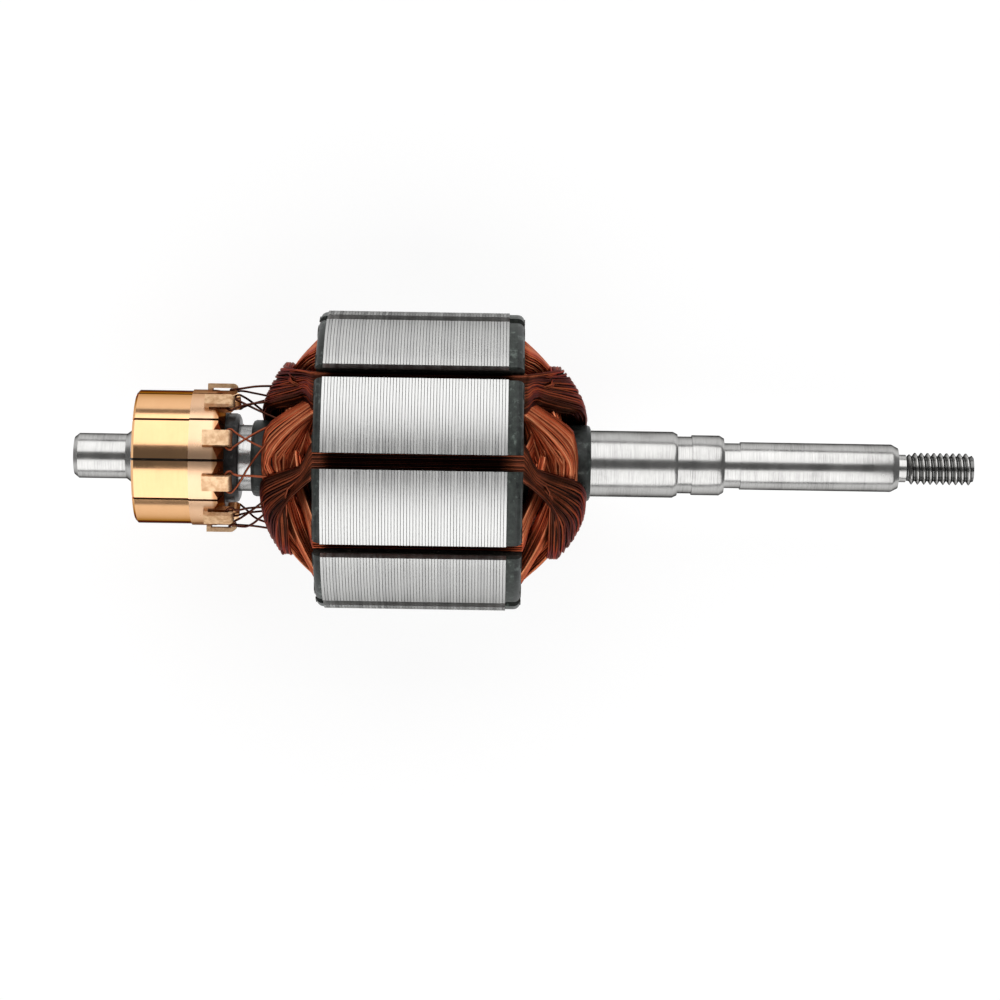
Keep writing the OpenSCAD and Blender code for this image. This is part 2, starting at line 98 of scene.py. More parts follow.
# %% Steps that the finishes share
class Finish:
    def __init__(self, name, metallic=0.0, roughness=0.5):
        self.material = bpy.data.materials.new(name)
        self.material.use_nodes = True
        self.tree = self.material.node_tree
        self.shader = self.tree.nodes["Principled BSDF"]
        self.shader.inputs["Metallic"].default_value = metallic
        self.shader.inputs["Roughness"].default_value = roughness
        self.here = self.add("ShaderNodeTexCoord").outputs["Object"]

    def add(self, kind, **settings):
        node = self.tree.nodes.new(kind)
        for key, value in settings.items():
            setattr(node, key, value)
        return node

    def join(self, source, target):
        self.tree.links.new(source, target)

    def stretched(self, scale):
        node = self.add("ShaderNodeMapping")
        node.inputs["Scale"].default_value = scale
        self.join(self.here, node.inputs["Vector"])
        return node.outputs["Vector"]

    def noise(self, scale, stretch=(1, 1, 1), detail=3.0, roughness=0.55):
        node = self.add("ShaderNodeTexNoise")
        node.inputs["Scale"].default_value = scale
        node.inputs["Detail"].default_value = detail
        node.inputs["Roughness"].default_value = roughness
        self.join(self.stretched(stretch), node.inputs["Vector"])
        return node.outputs["Fac"]

    def math(self, operation, first, second=None):
        node = self.add("ShaderNodeMath", operation=operation)
        for socket, value in zip(node.inputs, (first, second)):
            if value is None:
                continue
            if isinstance(value, (int, float)):
                socket.default_value = value
            else:
                self.join(value, socket)
        return node.outputs[0]

    def ramp(self, value, stops):
        node = self.add("ShaderNodeValToRGB")
        elements = node.color_ramp.elements
        while len(elements) < len(stops):
            elements.new(0.5)
        for element, (position, colour) in zip(elements, stops):
            element.position = position
            element.color = (*colour, 1)
        self.join(value, node.inputs["Fac"])
        return node.outputs["Color"]

    def between(self, value, low, high, start=0.0, end=1.0):
        node = self.add("ShaderNodeMapRange")
        node.inputs["From Min"].default_value = start
        node.inputs["From Max"].default_value = end
        node.inputs["To Min"].default_value = low
        node.inputs["To Max"].default_value = high
        self.join(value, node.inputs["Value"])
        return node.outputs["Result"]

    def mix(self, share, first, second, blend="MIX"):
        node = self.add("ShaderNodeMix", data_type="RGBA", blend_type=blend)
        for socket, value in zip((node.inputs[0], node.inputs[6], node.inputs[7]),
                                 (share, first, second)):
            if isinstance(value, (int, float)):
                socket.default_value = value
            elif isinstance(value, tuple):
                socket.default_value = (*value, 1)
            else:
                self.join(value, socket)
        return node.outputs[2]

    def colour(self, source):
        self.join(source, self.shader.inputs["Base Color"])

    def roughness(self, source):
        self.join(source, self.shader.inputs["Roughness"])

    def bump(self, height, depth, strength=1.0):
        node = self.add("ShaderNodeBump")
        node.inputs["Strength"].default_value = strength
        node.inputs["Distance"].default_value = depth
        self.join(height, node.inputs["Height"])
        self.join(node.outputs["Normal"], self.shader.inputs["Normal"])

    def coat(self, amount, roughness):
        self.shader.inputs["Coat Weight"].default_value = amount
        self.shader.inputs["Coat Roughness"].default_value = roughness

    def edge_tint(self, colour):
        self.shader.inputs["Specular Tint"].default_value = (*colour, 1)

    def axes(self):
        node = self.add("ShaderNodeSeparateXYZ")
        self.join(self.here, node.inputs[0])
        return node.outputs

    def radius(self):
        across = self.stretched((0, 1, 1))
        node = self.add("ShaderNodeVectorMath", operation="LENGTH")
        self.join(across, node.inputs[0])
        return node.outputs["Value"]


def dress(name, finish):
    slots_of_node = solids[name].data.materials
    slots_of_node.clear()
    slots_of_node.append(finish.material)


def hand_in(piece, finish, slot, *stands_for):
    piece.data.materials.clear()
    piece.data.materials.append(finish.material)
    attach(piece, "root")
    if stands_for:
        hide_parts(*stands_for)


print("the shared steps are ready")

# %% [markdown]
# The shaft is turned and then ground, so its marks run round it. A noise that is stretched until
# it only changes along X gives such rings. A second, slower noise dulls some places, as
# handling does. The steel itself is a metal with a low roughness. Its tone is worked out here and
# goes onto the shader once the thread is there, because the thread's roots get a painted shade.

# %% Shaft steel
shaft_steel = Finish("shaft_steel", metallic=1.0, roughness=0.3)
rings = shaft_steel.noise(9000, stretch=(1, 0.02, 0.02), detail=4)
handling = shaft_steel.noise(220, detail=4)
marks = shaft_steel.math("ADD", shaft_steel.math("MULTIPLY", rings, 0.5),
                         shaft_steel.math("MULTIPLY", handling, 0.5))
shaft_tone = shaft_steel.ramp(marks, [(0.3, (0.34, 0.335, 0.33)), (0.5, (0.50, 0.495, 0.485)),
                                      (0.72, (0.60, 0.595, 0.585))])
shaft_steel.roughness(shaft_steel.between(handling, 0.14, 0.32))
shaft_steel.bump(rings, 0.02 * mm, strength=0.2)
shaft_steel.edge_tint((0.02, 0.02, 0.02))
print("shaft steel made")

# %% [markdown]
# The solid shaft ends in a plain rod where the real one has a thread. The rest of its shape is
# right, so a copy of it is kept up to the undercut and only the rod is cut away. A cut mesh is
# open, so the cut is filled.

# %% Shaft without its plain end
stud_mount = next(m for m in frame["record"]["mounts"] if m["name"] == "threaded_stud")
stud_radius = stud_mount["dims"]["r_mm"] * mm
stud_end = stud_mount["pos_m"][0]
stud_start = stud_end - stud_mount["dims"]["length_mm"] * mm
undercut_inside = 0.3 * mm

shaft_mesh = bmesh.new()
shaft_mesh.from_mesh(solids["shaft"].data)
bmesh.ops.remove_doubles(shaft_mesh, verts=shaft_mesh.verts, dist=0.001 * mm)
cut = bmesh.ops.bisect_plane(
    shaft_mesh, geom=shaft_mesh.verts[:] + shaft_mesh.edges[:] + shaft_mesh.faces[:],
    plane_co=(stud_start - undercut_inside, 0, 0), plane_no=(1, 0, 0), clear_outer=True)
rim = [edge for edge in cut["geom_cut"] if isinstance(edge, bmesh.types.BMEdge)]
bmesh.ops.edgeloop_fill(shaft_mesh, edges=rim)
print("shaft cut at", round(stud_start / mm, 1), "mm,", len(shaft_mesh.faces), "faces left")

# %% [markdown]
# A thread is one ridge wound round a rod. Its section over one pitch is drawn once: root, flank,
# crest and flank. Spinning that line a full turn while it moves one pitch along the axis joins
# its end to its own start, so more turns make the whole thread. The ends are then cut flat. One
# is closed by a plain face, and the other by a face with the lathe's centre hole in it.

# %% Thread
inch = 25.4 * mm
thread_pitch = inch / 20
root_radius = stud_radius - 0.54 * thread_pitch
steps_in_turn = 40
centre_radius = 1.3 * mm
centre_depth = centre_radius / math.tan(math.radians(30))
turns = math.ceil((stud_end - stud_start) / thread_pitch) + 2

thread = bmesh.new()
section = [(0, root_radius), (0.06, root_radius), (0.44, stud_radius),
           (0.56, stud_radius), (0.94, root_radius), (1, root_radius)]
line = [thread.verts.new((stud_start - thread_pitch + share * thread_pitch, 0, radius))
        for share, radius in section]
edges = [thread.edges.new(pair) for pair in zip(line, line[1:])]
bmesh.ops.spin(thread, geom=line + edges, cent=(0, 0, 0), axis=(1, 0, 0),
               angle=math.tau * turns, steps=steps_in_turn * turns,
               dvec=(thread_pitch / steps_in_turn, 0, 0), use_merge=False)
bmesh.ops.remove_doubles(thread, verts=thread.verts, dist=0.002 * mm)
for end, outwards in ((stud_start, -1), (stud_end, 1)):
    bmesh.ops.bisect_plane(
        thread, geom=thread.verts[:] + thread.edges[:] + thread.faces[:],
        plane_co=(end, 0, 0), plane_no=(outwards, 0, 0), clear_outer=True)
    rim = [edge for edge in thread.edges
           if edge.is_boundary and all(abs(v.co.x - end) < 0.01 * mm for v in edge.verts)]
    if outwards < 0:
        bmesh.ops.holes_fill(thread, edges=rim, sides=0)
        continue
    for radius, depth in ((centre_radius, 0), (0.01 * mm, centre_depth)):
        grown = bmesh.ops.extrude_edge_only(thread, edges=rim)["geom"]
        rim = [item for item in grown if isinstance(item, bmesh.types.BMEdge)]
        for point in {vert for edge in rim for vert in edge.verts}:
            size = math.hypot(point.co.y, point.co.z)
            point.co = (end - depth, point.co.y * radius / size, point.co.z * radius / size)
    bmesh.ops.pointmerge(thread, verts=list({v for e in rim for v in e.verts}),
                         merge_co=(end - centre_depth, 0, 0))
print("thread of", round((stud_end - stud_start) / thread_pitch, 1), "turns,",
      len(thread.faces), "faces, open edges:", sum(e.is_boundary for e in thread.edges))

# %% [markdown]
# The first and last crest of a cut thread are chamfered, so a nut starts easily. Every point near
# an end that stands out of a cone is pressed down onto it. Then both meshes become one piece,
# which stands for the solid shaft. Edges flatter than a set angle are shaded smooth. The roots of
# the thread get a painted shade: the steel is made darker there, where shadow falls.

# %% Chamfer the thread and make the shaft one piece
chamfer = 0.7 * mm
for point in thread.verts:
    from_end = min(point.co.x - stud_start, stud_end - point.co.x)
    radius = math.hypot(point.co.y, point.co.z)
    allowed = stud_radius - max(0.0, chamfer - from_end)
    if radius > allowed:
        point.co.yz = (point.co.y * allowed / radius, point.co.z * allowed / radius)


def piece_from(name, *meshes, smooth_below=35):
    data = bpy.data.meshes.new(name)
    whole = bmesh.new()
    for mesh in meshes:
        part = bpy.data.meshes.new(name + "_part")
        mesh.to_mesh(part)
        whole.from_mesh(part)
        bpy.data.meshes.remove(part)
        mesh.free()
    bmesh.ops.recalc_face_normals(whole, faces=whole.faces)
    for face in whole.faces:
        face.smooth = True
    for edge in whole.edges:
        edge.smooth = edge.calc_face_angle(0) < math.radians(smooth_below)
    whole.to_mesh(data)
    open_edges = sum(edge.is_boundary for edge in whole.edges)
    whole.free()
    piece = bpy.data.objects.new(name, data)
    bpy.context.scene.collection.objects.link(piece)
    print(name, "has", len(data.polygons), "faces and", open_edges, "open edges")
    return piece


# The thread's roots are painted darker than the crests: a painted shade.
unshaded_crest = 0.1 * mm
painted_root_shade = (0.17, 0.17, 0.167)
in_thread = shaft_steel.math("GREATER_THAN", shaft_steel.axes()[0], stud_start)
root_shade_share = shaft_steel.between(shaft_steel.radius(), 0, 1, stud_radius - unshaded_crest, root_radius)
shaft_steel.colour(shaft_steel.mix(shaft_steel.math("MULTIPLY", root_shade_share, in_thread), shaft_tone,
                                   painted_root_shade))
hand_in(piece_from("shaft_with_thread", shaft_mesh, thread), shaft_steel, "shaft", "shaft")

# %% [markdown]
# The core is a pile of thin stampings. Each one has its own tone, because it was cut from another
# place of the strip, and a faint line shows where two meet. The place along X is divided by the
# thickness of one stamping: its whole part picks the tone, and its fraction gives the line.

# %% Core steel
lamination = 0.6 * mm
joint_width, joint_darkness = 0.14, 0.08
core_low, core_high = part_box("lamination_stack")
core_steel = Finish("core_steel", metallic=1.0, roughness=0.5)
along = core_steel.axes()[0]
count = core_steel.math("DIVIDE", core_steel.math("SUBTRACT", along, core_low.x), lamination)
sheet = core_steel.math("FLOOR", count)
own_tone = core_steel.add("ShaderNodeTexWhiteNoise", noise_dimensions="1D")
core_steel.join(sheet, own_tone.inputs["W"])
stain = core_steel.noise(160, detail=5, roughness=0.6)
sheet_tone = core_steel.ramp(own_tone.outputs["Value"],
                             [(0.0, (0.60, 0.60, 0.595)), (0.5, (0.65, 0.65, 0.64)),
                              (1.0, (0.69, 0.69, 0.68))])
stained = core_steel.mix(core_steel.between(stain, 0, 0.3), sheet_tone, (0.55, 0.55, 0.54))
joint = core_steel.math("PINGPONG", count, 0.5)
dark_joint = core_steel.math("LESS_THAN", joint, joint_width)
core_steel.colour(core_steel.mix(core_steel.math("MULTIPLY", dark_joint, joint_darkness),
                                 stained, (0.1, 0.1, 0.1)))
core_steel.roughness(core_steel.between(own_tone.outputs["Value"], 0.38, 0.5))
core_steel.edge_tint((0.0, 0.0, 0.0))
core_steel.bump(core_steel.noise(2500, stretch=(0.1, 1, 1)), 0.02 * mm, strength=0.3)
dress("lamination_stack", core_steel)
print(round((core_high.x - core_low.x) / lamination), "laminations")

# %% [markdown]
# The end insulators are pressed from dark resin, and the plate beside the core at the drive end is
# pressed fibre, a little greener and duller. Both are finished with a fine grain, pale spots that
# are painted glints, and a slightly uneven gloss. The slot liners are thin dark paper.

# %% Insulation
def dull_finish(name, dark, light, gloss, grain):
    finish = Finish(name, roughness=gloss)
    mottle = finish.noise(grain, detail=5, roughness=0.65)
    # Pale spots are mixed into the colour: painted glints.
    glint_spots = finish.ramp(finish.noise(grain * 0.6, detail=6, roughness=0.7),
                         [(0.56, (0, 0, 0)), (0.66, (1, 1, 1))])
    finish.colour(finish.mix(finish.math("MULTIPLY", glint_spots, 0.6),
                             finish.ramp(mottle, [(0.3, dark), (0.62, light)]),
                             tuple(4 * value for value in light)))
    finish.roughness(finish.between(mottle, gloss - 0.1, gloss + 0.15))
    finish.bump(finish.noise(grain * 5), 0.03 * mm, strength=0.4)
    finish.shader.inputs["Specular IOR Level"].default_value = 0.28
    return finish


insulator_resin = dull_finish("insulator_resin", (0.008, 0.0095, 0.009), (0.034, 0.04, 0.037),
                              0.4, 700)
pressed_fibre = dull_finish("pressed_fibre", (0.014, 0.018, 0.016), (0.045, 0.054, 0.048),
                            0.5, 900)
liner_paper = dull_finish("liner_paper", (0.012, 0.011, 0.01), (0.04, 0.036, 0.03), 0.7, 1200)
hub_resin = dull_finish("hub_resin", (0.008, 0.008, 0.008), (0.03, 0.03, 0.03), 0.3, 500)
dress("front_insulator", insulator_resin)
dress("rear_insulator", insulator_resin)
dress("fibre_end_plate", pressed_fibre)
dress("commutator_hub", hub_resin)
for number in range(1, slots + 1):
    dress(f"slot_liner_{number}", liner_paper)
print("insulation dressed")

# %% [markdown]
# A commutator is turned after it is moulded, so its copper has fine marks round it. The track is
# bright, the band beside the hooks is duller, and the sloping ends stay brown. The place along X
# tells these zones apart. A hook stands out of the band, so its radius tells it apart.

# %% Commutator copper
bar_low, bar_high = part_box("commutator_bar_1")
track_length, riser_length = 11.2 * mm, 4.7 * mm
bar_length = bar_high.x - bar_low.x
track_radius, hook_above_track = 13.3 * mm, 0.55 * mm
track_copper, riser_copper, end_copper = (0.90, 0.50, 0.25), (0.86, 0.55, 0.36), (0.40, 0.17, 0.07)
copper = Finish("commutator_copper", metallic=1.0, roughness=0.25)
turning = copper.noise(8000, stretch=(1, 0.02, 0.02), detail=4)
patina = copper.noise(260, detail=5)
from_low = copper.math("DIVIDE", copper.math("SUBTRACT", copper.axes()[0], bar_low.x),
                       bar_length)
track_share = track_length / bar_length
band_share = (track_length + riser_length) / bar_length
zones = copper.ramp(from_low, [(0.0, track_copper), (track_share - 0.005, track_copper),
                               (track_share + 0.005, riser_copper),
                               (band_share - 0.01, riser_copper), (band_share + 0.02, end_copper)])
worn = copper.mix(copper.between(patina, 0, 0.3), zones, (0.60, 0.27, 0.11))
turned = copper.mix(copper.between(turning, 0, 0.3), worn, (0.97, 0.70, 0.42))
riser_share = copper.ramp(from_low, [(track_share - 0.005, (0, 0, 0)),
                                     (track_share + 0.005, (1, 1, 1))])
hook_share = copper.math("GREATER_THAN", copper.radius(), track_radius + hook_above_track)
hook_tone = copper.ramp(copper.noise(900, detail=4), [(0.35, (0.60, 0.36, 0.20)),
                                                      (0.6, (0.83, 0.58, 0.36))])
copper.colour(copper.mix(hook_share, turned, hook_tone))
dullness = copper.math("ADD", copper.math("MULTIPLY", hook_share, 0.2),
                       copper.math("MULTIPLY", riser_share, 0.14))
copper.roughness(copper.math("ADD", copper.between(patina, 0.08, 0.22), dullness))
copper.edge_tint((0.04, 0.015, 0.005))
copper.bump(turning, 0.02 * mm, strength=0.3)
for number in range(1, slots + 1):
    dress(f"commutator_bar_{number}", copper)
print("track ends at", round((bar_low.x + track_length) / mm, 2), "mm")

# %% [markdown]
# Winding wire is copper under a clear brown enamel: a metal with a dark orange colour, and a coat
# over it that gives the sharp highlight. Every turn of wire has aged a little differently. Each
# wire is its own closed tube, and Random Per Island gives each such tube its own number. The two
# uppermost coils get a darker copy of the enamel, which is painted shade, and most leads are
# darker still. All wires get a painted shade inside the core, where the slots lie in shadow. The
# solid coils stay under the wires and are nearly black, a painted shade in the gaps between them.

# %% Wire enamel
slot_mouth, at_mouth, in_shade = 0.045, (0.8, 0.8, 0.8), (0.24, 0.2, 0.2)


def wire_enamel(name, metallic, dark, middle, bright):
    finish = Finish(name, metallic=metallic, roughness=0.38)
    own = finish.add("ShaderNodeNewGeometry").outputs["Random Per Island"]
    age = finish.noise(300, detail=4)
    both = finish.math("ADD", finish.math("MULTIPLY", own, 0.55),
                       finish.math("MULTIPLY", age, 0.45))
    open_air = finish.ramp(both, [(0.22, dark), (0.5, middle), (0.78, bright)])
    into_core = finish.math("DIVIDE", finish.math("SUBTRACT", finish.axes()[0], core_low.x),
                            core_high.x - core_low.x)
    # Inside the core the wires are painted darker: a painted shade for the slots.
    painted_slot_shade = finish.ramp(into_core, [(0.0, at_mouth), (slot_mouth, in_shade),
                                     (1 - slot_mouth, in_shade), (1.0, at_mouth)])
    finish.colour(finish.mix(1.0, open_air, painted_slot_shade, blend="MULTIPLY"))
    finish.roughness(finish.between(age, 0.24, 0.42))
    finish.coat(0.12, 0.15)
    finish.edge_tint((0.55, 0.22, 0.12))
    return finish


enamel_lit = wire_enamel("wire_enamel_light", 0.8, (0.28, 0.05, 0.018), (0.70, 0.14, 0.052),
                         (0.92, 0.34, 0.16))
# The uppermost coils' copy of the enamel is darker: a painted shade.
enamel_painted_shade = wire_enamel("wire_enamel_painted_shade", 0.95, (0.045, 0.014, 0.007), (0.11, 0.030, 0.014),
                         (0.38, 0.095, 0.042))
enamel_lead = wire_enamel("wire_enamel_lead", 0.95, (0.008, 0.004, 0.003), (0.02, 0.007, 0.005),
                          (0.10, 0.03, 0.016))
# The solid coils under the wires are nearly black: a painted shade between the wires.
coil_gap_shade = dull_finish("wire_shade", (0.008, 0.003, 0.002), (0.03, 0.008, 0.004), 1.0, 800)
for number in range(1, slots + 1):
    dress(f"coil_{number}", coil_gap_shade)
print("four wire finishes made")

# %% [markdown]
# Each coil is wound from one long wire, and every turn of it takes almost the same way: out of
# its slot, straight to the sleeve on the shaft, round the sleeve and back into the slot four
# places on. The ten coils are wound in opposite pairs, each pair over the one before. These are
# the winder's own numbers, and the solid coils follow the same rule.

# %% Numbers of the winding
span = slots // 2 - 1
layers = slots // 2
front_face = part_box("front_insulator")[1].x - 1.5 * mm
rear_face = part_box("rear_insulator")[0].x + 1.34 * mm
front_turns = (front_face, -1, 11.5 * mm, 1.3 * mm, 1.7 * mm)
rear_turns = (rear_face, 1, 12.8 * mm, 1.6 * mm, 0.6 * mm)
sleeve_radius = 7.65 * mm
gap = 0.1 * mm
side_depth = 4.7 * mm
inner_side = 16.85 * mm
outer_side = inner_side + side_depth + 0.3 * mm
pass_width = 5.9 * mm
top_pass_width = outer_side - side_depth / 2 - 0.4 * mm - sleeve_radius - gap
tooth_width, liner = 6.4 * mm, 0.3 * mm
free_layers = ((0, 1, 2, 2.6, 0.4), (0, 0, 0.4, 0.4, 0.4))
keeps_height_to, sinks_over = 13.4 * mm, 1.5 * mm
swell_until, swell_fade = 24, 16
loose_drop = 0.33
wire_diameter = 0.5 * mm
print("front face at", round(front_face / mm, 2), "rear face at", round(rear_face / mm, 2))

# %% [markdown]
# One function gives the way of one wire over half an end turn. `share` runs from 0 at the slot to
# 1 halfway round the sleeve. `depth` and `across` say which wire of the bundle it is, each from
# -1 to 1, and `low` says how far it sinks into the room under the bundle. A wire with `across`
# over 1 is a loose one: it leaves the slot at once and fans out beside the bundle.

# %% The way of one wire
def layer_of(coil):
    return (coil + 3) % layers


def shares_slot_with(coil, side):
    return (coil - span if side == 0 else coil + span) % slots


def lies_outside(coil, side):
    return layer_of(coil) > layer_of(shares_slot_with(coil, side))


def slot_half_width(radius):
    return (radius * math.tan(slot_pitch / 2) - tooth_width / 2 / math.cos(slot_pitch / 2)
            - liner - gap)


def half_turn_point(coil, side, end_turns, depth, across, low, share):
    face, out, overhang, crown, swell = end_turns
    layer = layer_of(coil)
    outside = lies_outside(coil, side)
    start = (outer_side if outside else inner_side) + depth * side_depth / 2
    lean = (0.5 if outside else 0.15) * (1 - across) * smooth_step(share / 0.15)
    sideways = (min(1.0, across) + lean) * 0.92 * slot_half_width(start)
    start_radius = math.hypot(start, sideways)
    start_angle = math.atan2(sideways, start)
    width = top_pass_width if layer == layers - 1 else pass_width
    near = sleeve_radius + gap + (1 + across) / 2 * width
    touch_angle = start_angle + math.acos(near / start_radius)
    straight = math.sqrt(start_radius ** 2 - near ** 2)
    arc = near * (span * slot_pitch / 2 - touch_angle)
    left = straight - share * (straight + arc)
    if left > 0:
        radius = math.hypot(near, left)
        angle = touch_angle - math.atan(left / near)
    else:
        radius, angle = near, touch_angle - left / near
    step = (overhang - gap * 3) / layers
    flat = max(near + 0.2 * mm, keeps_height_to)
    rise = min(1.0, max(0.0, (radius - flat) / (start_radius - flat)))
    rim = crown * (layer + 0.5) / layers * (min(radius - sleeve_radius, width) / pass_width) ** 2
    loose = across > 1
    sunk = 0 if loose else (free_layers[side][layer] * low
                            * smooth_step((radius - flat) / sinks_over))
    own_angle = angle if side == 0 else span * slot_pitch - angle
    past_edge = math.degrees(own_angle + math.acos(sleeve_radius / radius)
                             - math.acos(sleeve_radius / outer_side))
    swelling = 0
    if layer == layers - 2:
        swelling = swell * (1 - smooth_step((past_edge - swell_until) / swell_fade))
    height = (gap * 3 + step * (layer + 0.5 - sunk) - rim + swelling * (1 + depth) / 2
              + depth * (step / 2 - gap * 2))
    if loose:
        fan = loose_drop * free_layers[side][layer] * low * smooth_step(1 + left / arc)
        height = gap + height * (1 - fan) * (1 - max(0.0, left) / straight) ** 0.8
    else:
        height = gap + height * (1 - rise ** (1.15 + 0.08 * depth))
    slot_angle = (coil - 1 + side * span) * slot_pitch
    return face + out * height, radius, slot_angle + (-angle if side else angle)


print("coil 1 lies in layer", layer_of(0), "and coil 2 in layer", layer_of(1))

# %% [markdown]
# A whole turn is four such halves: two over the commutator end and two over the drive end, with
# straight runs through the slots between them. No hand lays a wire quite true, so each wire
# wanders a little, and it does so on sine waves, because they close on themselves.

# %% One turn of wire
points_in_half = 14


def turn_of_wire(coil, depth, across, low, wander):
    phase = [wander.uniform(0, math.tau) for _ in range(4)]
    route = []
    halves = ((0, front_turns, False), (1, front_turns, True),
              (1, rear_turns, False), (0, rear_turns, True))
    for part, (side, end_turns, back) in enumerate(halves):
        shares = [(i / points_in_half) ** 1.2 for i in range(points_in_half + 1)]
        if back:
            shares = shares[::-1]
        for share in shares[:-1] if not back else shares[1:] if route else shares:
            way = (part + share) / 4 * math.tau
            lift = 0.10 * math.sin(way * 3 + phase[0]) + 0.05 * math.sin(way * 7 + phase[1])
            drift = 0.05 * math.sin(way * 2 + phase[2]) + 0.03 * math.sin(way * 5 + phase[3])
            calm = math.sin(math.pi * min(1.0, share * 1.5)) if share < 0.34 else 1.0
            route.append(place(*half_turn_point(
                coil, side, end_turns, depth + lift * calm * (1 - abs(depth) * 0.5),
                max(-1.0, min(max(1.0, across), across + drift * calm)), low, share)))
    return route


test_route = turn_of_wire(0, 1, 0, 0, random.Random(1))
print("one turn has", len(test_route), "points and is",
      round(sum((a - b).length for a, b in zip(test_route, test_route[1:])) / mm), "mm long")

# %% [markdown]
# A curve with a bevel is the quickest way to many round wires: each turn is one closed spline.
# The wires that show lie on the bundle's outside, so they are spaced round its section. In the
# third layer a fan of wires fills the room below the upper bundles, where a winder's last turns
# sag into it. In the fourth, loose wires fan out from the slot.

# %% Wires of the coils
fan_wires, fan_across = 14, (0.75, 0.5)
loose_wires, loose_across = 20, 1.34


def round_curve(name, radius, resolution, capped):
    data = bpy.data.curves.new(name, "CURVE")
    data.dimensions = "3D"
    data.bevel_depth = radius
    data.bevel_resolution = resolution
    data.use_fill_caps = capped
    piece = bpy.data.objects.new(name, data)
    bpy.context.scene.collection.objects.link(piece)
    return piece


def wire_curve(name, routes):
    piece = round_curve(name, wire_diameter / 2, 1, capped=False)
    for route in routes:
        spline = piece.data.splines.new("POLY")
        spline.points.add(len(route) - 1)
        for knot, point in zip(spline.points, route):
            knot.co = (*point, 1)
        spline.use_cyclic_u = True
        spline.use_smooth = True
    return piece


def wires_of(coil):
    wander = random.Random(coil + 40)
    top = layer_of(coil) == layers - 1
    on_face, on_edge = (21, 6) if top else (12, 7)
    section = []
    for i in range(on_face):
        across = -0.95 + 1.9 * i / (on_face - 1)
        section += [(1 - 0.1 * across ** 8, across), (-1 + 0.1 * across ** 8, across)]
    for i in range(on_edge):
        depth = -0.8 + 1.6 * i / (on_edge - 1)
        section += [(depth, 1 - 0.05 * depth ** 4), (depth, -1 + 0.05 * depth ** 4)]
    routes = [turn_of_wire(coil, depth, across, (1 - depth) / 2, wander)
              for depth, across in section]
    if layer_of(coil) == layers - 3:
        for i in range(fan_wires):
            for across in fan_across:
                routes.append(turn_of_wire(coil, wander.uniform(-0.9, 0.9), across,
                                           i / (fan_wires - 1), wander))
    if layer_of(coil) == layers - 2:
        for i in range(loose_wires):
            routes.append(turn_of_wire(coil, wander.uniform(-0.6, 0.6), loose_across,
                                       i / (loose_wires - 1), wander))
    return routes


for coil in range(slots):
    # The two uppermost coils take the darker copy, a painted shade.
    finish = enamel_painted_shade if layer_of(coil) == layers - 1 else enamel_lit
    piece = wire_curve(f"coil_{coil + 1}_wires", wires_of(coil))
    hand_in(piece, finish, "coil")

# %% [markdown]
# A lead is the end of one coil and the start of the next. It is looped through a hook, which is
# then pressed and heated until the enamel burns off. Outside the hook its two tails cross and
# run almost straight to the winding. Bezier points with automatic handles keep them smooth. Two
# leads in five have the uppermost coils' darker enamel with its painted shade, and the others are
# darker.

# %% Leads
hook_end = bar_high.x
hook_width, hook_thickness, hook_gap = 3.1 * mm, 0.85 * mm, 0.54 * mm
riser_radius, hook_recess = 13.55 * mm, 0.15 * mm
first_hook = math.radians(20)
tails_apart, beyond_hook = 0.25 * mm, 0.4 * mm
lead_radius = riser_radius - hook_recess + hook_gap / 2
loop_at = hook_end - hook_thickness - hook_gap / 2 - hook_recess
beside_hook = math.asin((hook_width / 2 + wire_diameter) / lead_radius)
front_end = front_face - front_turns[2]
lead_ends = (((5.5, 13, -20), (2, 12.5, 7)), ((2.5, 13.5, -35), (3, 13, -4)),
             ((2, 13.5, -19), (1.5, 12.5, -6)), ((1.5, 13, -34), (2, 14, 0)),
             ((2, 13.5, -24), (2.5, 13.5, 0)), ((5.5, 13, -20), (1.5, 12, 4)),
             ((2.5, 13.5, -28), (2, 12, 2)), ((2, 13.5, -22), (1.5, 13, 10)),
             ((2.5, 14.5, 2), (2, 13, 16)), ((2, 13.5, -4), (5.5, 12.5, 16)))


def tail_of_lead(number, side):
    depth, radius, turn = lead_ends[number][0 if side > 0 else 1]
    hook_angle = (number - 1) * slot_pitch + first_hook
    end_at = front_end + depth * mm - wire_diameter
    above = lead_radius + side * tails_apart
    turn = math.radians(turn)
    return [place(end_at, radius * mm, hook_angle + turn),
            place((end_at + hook_end) / 2, (radius * mm + above) / 2 + side * 0.15 * mm,
                  hook_angle + (turn + side * beside_hook * 0.7) / 2),
            place(hook_end + beyond_hook, above, hook_angle + side * beside_hook * 0.75),
            place(hook_end - beyond_hook, above, hook_angle + side * beside_hook * 1.05),
            place(loop_at, lead_radius, hook_angle + side * beside_hook * 0.8)]


def lead_curve(name, route):
    piece = round_curve(name, 0.45 * wire_diameter, 2, capped=True)
    piece.data.resolution_u = 5
    spline = piece.data.splines.new("BEZIER")
    spline.bezier_points.add(len(route) - 1)
    for knot, point in zip(spline.bezier_points, route):
        knot.co = point
        knot.handle_left_type = knot.handle_right_type = "AUTO"
    return piece


for number in range(slots):
    middle = place(loop_at, lead_radius, (number - 1) * slot_pitch + first_hook)
    route = tail_of_lead(number, 1) + [middle] + tail_of_lead(number, -1)[::-1]
    # Two leads in five take the darker copy with its painted shade.
    finish = enamel_painted_shade if number % 5 < 2 else enamel_lead
    hand_in(lead_curve(f"lead_{number + 1}", route), finish, "coil_lead",
            f"coil_lead_{number + 1}")
print(slots, "leads laid")

# %% [markdown]
# The armature lies on a pale floor. Its round, polished parts show what stands round them, so
# the light comes from two long soft lamps, one on each side, and the sky between them is dimmer.
# That gives a dark line along the top of each round part with a bright band on both sides.

